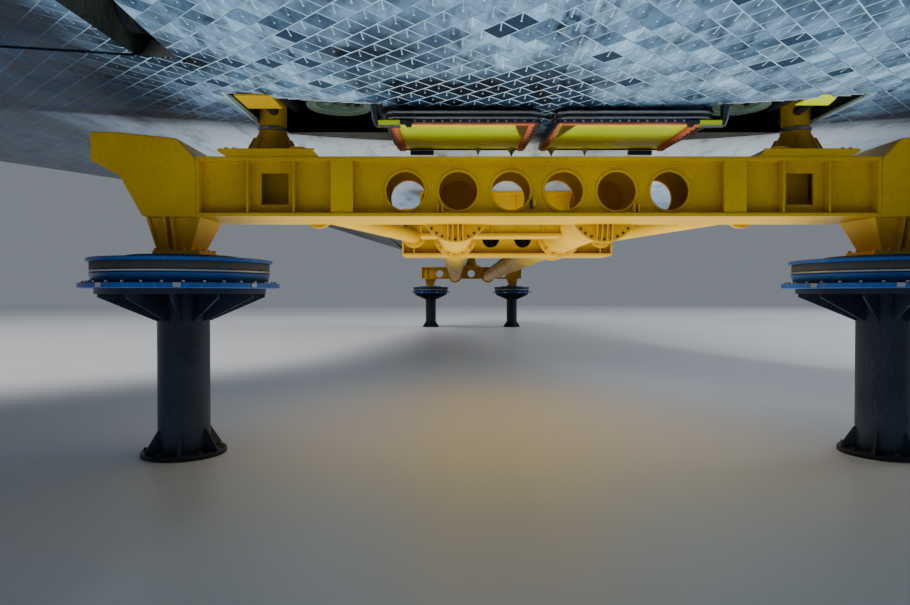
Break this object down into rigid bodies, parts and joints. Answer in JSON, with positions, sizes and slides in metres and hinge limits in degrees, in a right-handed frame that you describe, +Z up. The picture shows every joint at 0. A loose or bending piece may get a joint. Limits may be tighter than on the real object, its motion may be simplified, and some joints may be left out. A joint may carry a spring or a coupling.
{
  "type": "space shuttle orbiter on its display stand",
  "caption": "Winged reusable spaceplane with its gear stowed, carried on a yellow steel frame over dark columns with blue isolators.",
  "frame": {"origin": "floor, at the middle of the bounding box", "axes": "+X starboard, +Y towards the nose, +Z up"},
  "size_m": [23.7744, 37.2326, 16.9246],
  "materials": {
    "white_tiles": "white blanket and tile",
    "black_tiles": "dark blue-grey tile",
    "carbon": "grey carbon panel",
    "glass": "dark window glass",
    "alloy": "bare metal",
    "primer": "yellow-green primer",
    "yellow_paint": "yellow gloss paint",
    "blue_paint": "blue paint",
    "dark_paint": "near-black paint"
  },
  "bodies": {
    "airframe_and_stand": {"forward_fuselage": "white_tiles", "mid_fuselage": "white_tiles", "aft_fuselage": "white_tiles", "fin": "white_tiles", "pod_right": "white_tiles", "pod_left": "white_tiles", "wing_right": "black_tiles", "wing_left": "black_tiles", "nose_cap": "carbon", "window_glass": "glass", "umbilical_door_right": "primer", "umbilical_door_left": "primer", "aft_beam": "yellow_paint", "second_beam": "yellow_paint", "middle_beam": "yellow_paint", "front_beam": "yellow_paint", "front_post": "yellow_paint", "aft_beam_end_right": "yellow_paint", "aft_beam_end_left": "yellow_paint", "carrying_cone_right": "yellow_paint", "carrying_cone_left": "yellow_paint", "short_tube_right": "yellow_paint", "short_tube_left": "yellow_paint", "long_tube_right": "yellow_paint", "long_tube_left": "yellow_paint", "brace_right": "yellow_paint", "brace_left": "yellow_paint", "isolator_aft_right": "blue_paint", "column_aft_right": "dark_paint", "isolator_aft_left": "blue_paint", "column_aft_left": "dark_paint", "isolator_front_right": "blue_paint", "column_front_right": "dark_paint", "isolator_front_left": "blue_paint", "column_front_left": "dark_paint"},
    "elevon_inner_right": {"elevon_inner_right": "black_tiles"},
    "elevon_outer_right": {"elevon_outer_right": "black_tiles"},
    "elevon_inner_left": {"elevon_inner_left": "black_tiles"},
    "elevon_outer_left": {"elevon_outer_left": "black_tiles"},
    "body_flap": {"body_flap": "black_tiles"},
    "rudder_shaft": {"rudder_shaft": "alloy"},
    "rudder_right": {"rudder_right": "white_tiles"},
    "rudder_left": {"rudder_left": "white_tiles"},
    "load_bay_door_right": {"load_bay_door_right": "white_tiles"},
    "load_bay_door_left": {"load_bay_door_left": "white_tiles"},
    "side_hatch": {"side_hatch": "white_tiles"},
    "nose_gear_door_right": {"nose_gear_door_right": "black_tiles"},
    "wheel_door_right": {"wheel_door_right": "black_tiles"},
    "nose_gear_door_left": {"nose_gear_door_left": "black_tiles"},
    "wheel_door_left": {"wheel_door_left": "black_tiles"},
    "main_gimbal_upper": {"main_gimbal_upper": "alloy"},
    "main_engine_upper": {"main_engine_upper": "alloy"},
    "main_gimbal_left": {"main_gimbal_left": "alloy"},
    "main_engine_left": {"main_engine_left": "alloy"},
    "main_gimbal_right": {"main_gimbal_right": "alloy"},
    "main_engine_right": {"main_engine_right": "alloy"},
    "pod_gimbal_left": {"pod_gimbal_left": "alloy"},
    "pod_engine_left": {"pod_engine_left": "alloy"},
    "pod_gimbal_right": {"pod_gimbal_right": "alloy"},
    "pod_engine_right": {"pod_engine_right": "alloy"}
  },
  "joints": [
    {"name": "elevon_inner_right_hinge", "type": "hinge", "parent": "airframe_and_stand", "child": "elevon_inner_right", "pos_m": [5.4483, -10.6172, 3.57351], "axis": [-0.9992, 0, -0.0389], "range_deg": [-20, 35]},
    {"name": "elevon_outer_right_hinge", "type": "hinge", "parent": "airframe_and_stand", "child": "elevon_outer_right", "pos_m": [9.8552, -10.6172, 3.74521], "axis": [-0.9992, 0, -0.0389], "range_deg": [-20, 35]},
    {"name": "elevon_inner_left_hinge", "type": "hinge", "parent": "airframe_and_stand", "child": "elevon_inner_left", "pos_m": [-5.4483, -10.6172, 3.57351], "axis": [-0.9992, 0, 0.0389], "range_deg": [-20, 35]},
    {"name": "elevon_outer_left_hinge", "type": "hinge", "parent": "airframe_and_stand", "child": "elevon_outer_left", "pos_m": [-9.8552, -10.6172, 3.74521], "axis": [-0.9992, 0, 0.0389], "range_deg": [-20, 35]},
    {"name": "body_flap_hinge", "type": "hinge", "parent": "airframe_and_stand", "child": "body_flap", "pos_m": [0, -14.2748, 3.5134], "axis": [-1, 0, 0], "range_deg": [-22.55, 11.7]},
    {"name": "rudder_hinge", "type": "hinge", "parent": "airframe_and_stand", "child": "rudder_shaft", "pos_m": [0, -13.1318, 10.5746], "axis": [0, -0.5679, 0.8231], "range_deg": [-27.1, 27.1]},
    {"name": "air_brake_right", "type": "hinge", "parent": "rudder_shaft", "child": "rudder_right", "pos_m": [0, -13.1318, 10.5746], "axis": [0, -0.5679, 0.8231], "range_deg": [0, 49.3]},
    {"name": "air_brake_left", "type": "hinge", "parent": "rudder_shaft", "child": "rudder_left", "pos_m": [0, -13.1318, 10.5746], "axis": [0, 0.5679, -0.8231], "range_deg": [0, 49.3]},
    {"name": "load_bay_door_right_hinge", "type": "hinge", "parent": "airframe_and_stand", "child": "load_bay_door_right", "pos_m": [2.69494, 0.7366, 6.6884], "axis": [0, 1, 0], "range_deg": [0, 175.5]},
    {"name": "load_bay_door_left_hinge", "type": "hinge", "parent": "airframe_and_stand", "child": "load_bay_door_left", "pos_m": [-2.69494, 0.7366, 6.6884], "axis": [0, -1, 0], "range_deg": [0, 175.5]},
    {"name": "side_hatch_hinge", "type": "hinge", "parent": "airframe_and_stand", "child": "side_hatch", "pos_m": [-2.57429, 12.2428, 4.61322], "axis": [-0.0698, -0.9976, 0], "range_deg": [0, 90]},
    {"name": "nose_gear_door_right_hinge", "type": "hinge", "parent": "airframe_and_stand", "child": "nose_gear_door_right", "pos_m": [0.4826, 15.9766, 3.40469], "axis": [0, -0.9883, -0.1522], "range_deg": [0, 90]},
    {"name": "wheel_door_right_hinge", "type": "hinge", "parent": "airframe_and_stand", "child": "wheel_door_right", "pos_m": [4.1656, -3.7338, 3.17453], "axis": [0, -1, 0], "range_deg": [0, 90]},
    {"name": "nose_gear_door_left_hinge", "type": "hinge", "parent": "airframe_and_stand", "child": "nose_gear_door_left", "pos_m": [-0.4826, 15.9766, 3.40469], "axis": [0, 0.9883, 0.1522], "range_deg": [0, 90]},
    {"name": "wheel_door_left_hinge", "type": "hinge", "parent": "airframe_and_stand", "child": "wheel_door_left", "pos_m": [-4.1656, -3.7338, 3.17453], "axis": [0, 1, 0], "range_deg": [0, 90]},
    {"name": "main_engine_upper_pitch", "type": "hinge", "parent": "airframe_and_stand", "child": "main_gimbal_upper", "pos_m": [0, -12.0904, 7.4504], "axis": [-1, 0, 0], "range_deg": [-10.5, 10.5]},
    {"name": "main_engine_upper_yaw", "type": "hinge", "parent": "main_gimbal_upper", "child": "main_engine_upper", "pos_m": [0, -12.0904, 7.4504], "axis": [0, 0, 1], "range_deg": [-8.5, 8.5]},
    {"name": "main_engine_left_pitch", "type": "hinge", "parent": "airframe_and_stand", "child": "main_gimbal_left", "pos_m": [-1.3462, -12.6746, 4.90024], "axis": [-1, 0, 0], "range_deg": [-10.5, 10.5]},
    {"name": "main_engine_left_yaw", "type": "hinge", "parent": "main_gimbal_left", "child": "main_engine_left", "pos_m": [-1.3462, -12.6746, 4.90024], "axis": [0, 0, 1], "range_deg": [-8.5, 8.5]},
    {"name": "main_engine_right_pitch", "type": "hinge", "parent": "airframe_and_stand", "child": "main_gimbal_right", "pos_m": [1.3462, -12.6746, 4.90024], "axis": [-1, 0, 0], "range_deg": [-10.5, 10.5]},
    {"name": "main_engine_right_yaw", "type": "hinge", "parent": "main_gimbal_right", "child": "main_engine_right", "pos_m": [1.3462, -12.6746, 4.90024], "axis": [0, 0, 1], "range_deg": [-8.5, 8.5]},
    {"name": "pod_engine_left_pitch", "type": "hinge", "parent": "airframe_and_stand", "child": "pod_gimbal_left", "pos_m": [-2.2352, -13.7922, 8.6442], "axis": [-1, 0, 0], "range_deg": [-6, 6]},
    {"name": "pod_engine_left_yaw", "type": "hinge", "parent": "pod_gimbal_left", "child": "pod_engine_left", "pos_m": [-2.2352, -13.7922, 8.6442], "axis": [0, 0, 1], "range_deg": [-7, 7]},
    {"name": "pod_engine_right_pitch", "type": "hinge", "parent": "airframe_and_stand", "child": "pod_gimbal_right", "pos_m": [2.2352, -13.7922, 8.6442], "axis": [-1, 0, 0], "range_deg": [-6, 6]},
    {"name": "pod_engine_right_yaw", "type": "hinge", "parent": "pod_gimbal_right", "child": "pod_engine_right", "pos_m": [2.2352, -13.7922, 8.6442], "axis": [0, 0, 1], "range_deg": [-7, 7]}
  ],
  "couplings": [
    {"joint": "air_brake_left", "follows": "air_brake_right", "ratio": 1}
  ]
}
